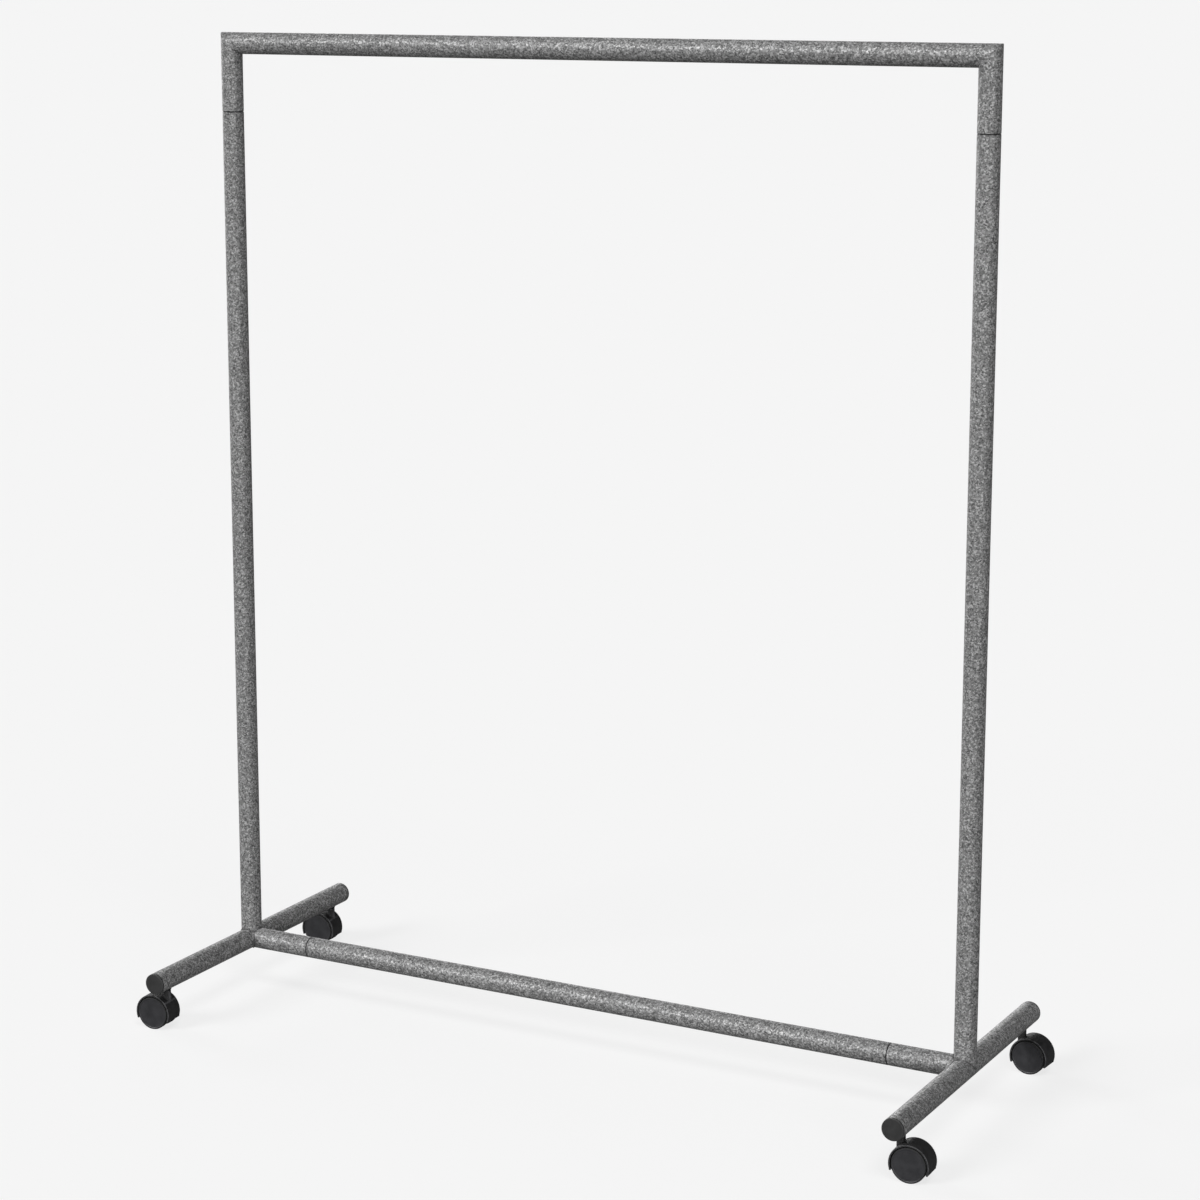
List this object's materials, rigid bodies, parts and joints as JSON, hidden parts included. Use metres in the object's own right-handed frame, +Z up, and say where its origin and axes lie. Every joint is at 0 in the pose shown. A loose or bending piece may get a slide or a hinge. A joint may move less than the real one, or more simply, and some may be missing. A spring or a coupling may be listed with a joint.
{
  "type": "mobile partition frame",
  "caption": "Open rectangular frame of round steel tube for a partition panel, on two cross feet with hooded twin-wheel swivel castors.",
  "frame": {"origin": "on the floor under the middle of the frame", "axes": "+X along the width of the frame, towards the right upright; -Y is the front; +Z up"},
  "size_m": [1.2907, 0.52, 1.486],
  "materials": {
    "tube_paint": "speckled grey hammer powder coat",
    "zinc_steel": "bright zinc plate",
    "black_steel": "black oxide",
    "cap_plastic": "fine matt",
    "hood_plastic": "satin",
    "wheel_plastic": "satin"
  },
  "bodies": {
    "frame": {"left_foot_tube": "tube_paint", "right_foot_tube": "tube_paint", "left_upright": "tube_paint", "right_upright": "tube_paint", "left_rail_stub": "tube_paint", "right_rail_stub": "tube_paint", "bottom_rail": "tube_paint", "top_rail": "tube_paint", "top_left_corner": "tube_paint", "top_right_corner": "tube_paint", "top_left_spigot": "zinc_steel", "top_right_spigot": "zinc_steel", "bottom_left_spigot": "zinc_steel", "bottom_right_spigot": "zinc_steel", "joint_screws": "zinc_steel", "castor_sockets": "zinc_steel", "stem_grip_rings": "zinc_steel", "front_left_end_cap": "cap_plastic", "front_right_end_cap": "cap_plastic", "rear_left_end_cap": "cap_plastic", "rear_right_end_cap": "cap_plastic", "front_left_stem": "black_steel", "front_right_stem": "black_steel", "rear_left_stem": "black_steel", "rear_right_stem": "black_steel"},
    "front_left_castor": {"front_left_hood": "hood_plastic", "front_left_axle": "zinc_steel"},
    "front_left_wheel_out": {"front_left_wheel_out": "wheel_plastic"},
    "front_left_wheel_in": {"front_left_wheel_in": "wheel_plastic"},
    "front_right_castor": {"front_right_hood": "hood_plastic", "front_right_axle": "zinc_steel"},
    "front_right_wheel_out": {"front_right_wheel_out": "wheel_plastic"},
    "front_right_wheel_in": {"front_right_wheel_in": "wheel_plastic"},
    "rear_left_castor": {"rear_left_hood": "hood_plastic", "rear_left_axle": "zinc_steel"},
    "rear_left_wheel_out": {"rear_left_wheel_out": "wheel_plastic"},
    "rear_left_wheel_in": {"rear_left_wheel_in": "wheel_plastic"},
    "rear_right_castor": {"rear_right_hood": "hood_plastic", "rear_right_axle": "zinc_steel"},
    "rear_right_wheel_out": {"rear_right_wheel_out": "wheel_plastic"},
    "rear_right_wheel_in": {"rear_right_wheel_in": "wheel_plastic"}
  },
  "joints": [
    {"name": "front_left_swivel", "type": "hinge", "parent": "frame", "child": "front_left_castor", "pos_m": [-0.599, -0.2285, 0.05], "axis": [0, 0, 1], "continuous": true},
    {"name": "front_left_roll_out", "type": "hinge", "parent": "front_left_castor", "child": "front_left_wheel_out", "pos_m": [-0.61558, -0.22937, 0.025], "axis": [0.0523, -0.9986, 0], "continuous": true},
    {"name": "front_left_roll_in", "type": "hinge", "parent": "front_left_castor", "child": "front_left_wheel_in", "pos_m": [-0.61558, -0.22937, 0.025], "axis": [0.0523, -0.9986, 0], "continuous": true},
    {"name": "front_right_swivel", "type": "hinge", "parent": "frame", "child": "front_right_castor", "pos_m": [0.599, -0.2285, 0.05], "axis": [0, 0, 1], "continuous": true},
    {"name": "front_right_roll_out", "type": "hinge", "parent": "front_right_castor", "child": "front_right_wheel_out", "pos_m": [0.61559, -0.22792, 0.025], "axis": [-0.0349, 0.9994, 0], "continuous": true},
    {"name": "front_right_roll_in", "type": "hinge", "parent": "front_right_castor", "child": "front_right_wheel_in", "pos_m": [0.61559, -0.22792, 0.025], "axis": [-0.0349, 0.9994, 0], "continuous": true},
    {"name": "rear_left_swivel", "type": "hinge", "parent": "frame", "child": "rear_left_castor", "pos_m": [-0.599, 0.2285, 0.05], "axis": [0, 0, 1], "continuous": true},
    {"name": "rear_left_roll_out", "type": "hinge", "parent": "rear_left_castor", "child": "rear_left_wheel_out", "pos_m": [-0.61556, 0.22734, 0.025], "axis": [0.0698, -0.9976, 0], "continuous": true},
    {"name": "rear_left_roll_in", "type": "hinge", "parent": "rear_left_castor", "child": "rear_left_wheel_in", "pos_m": [-0.61556, 0.22734, 0.025], "axis": [0.0698, -0.9976, 0], "continuous": true},
    {"name": "rear_right_swivel", "type": "hinge", "parent": "frame", "child": "rear_right_castor", "pos_m": [0.599, 0.2285, 0.05], "axis": [0, 0, 1], "continuous": true},
    {"name": "rear_right_roll_out", "type": "hinge", "parent": "rear_right_castor", "child": "rear_right_wheel_out", "pos_m": [0.61557, 0.22749, 0.025], "axis": [0.061, 0.9981, 0], "continuous": true},
    {"name": "rear_right_roll_in", "type": "hinge", "parent": "rear_right_castor", "child": "rear_right_wheel_in", "pos_m": [0.61557, 0.22749, 0.025], "axis": [0.061, 0.9981, 0], "continuous": true}
  ]
}
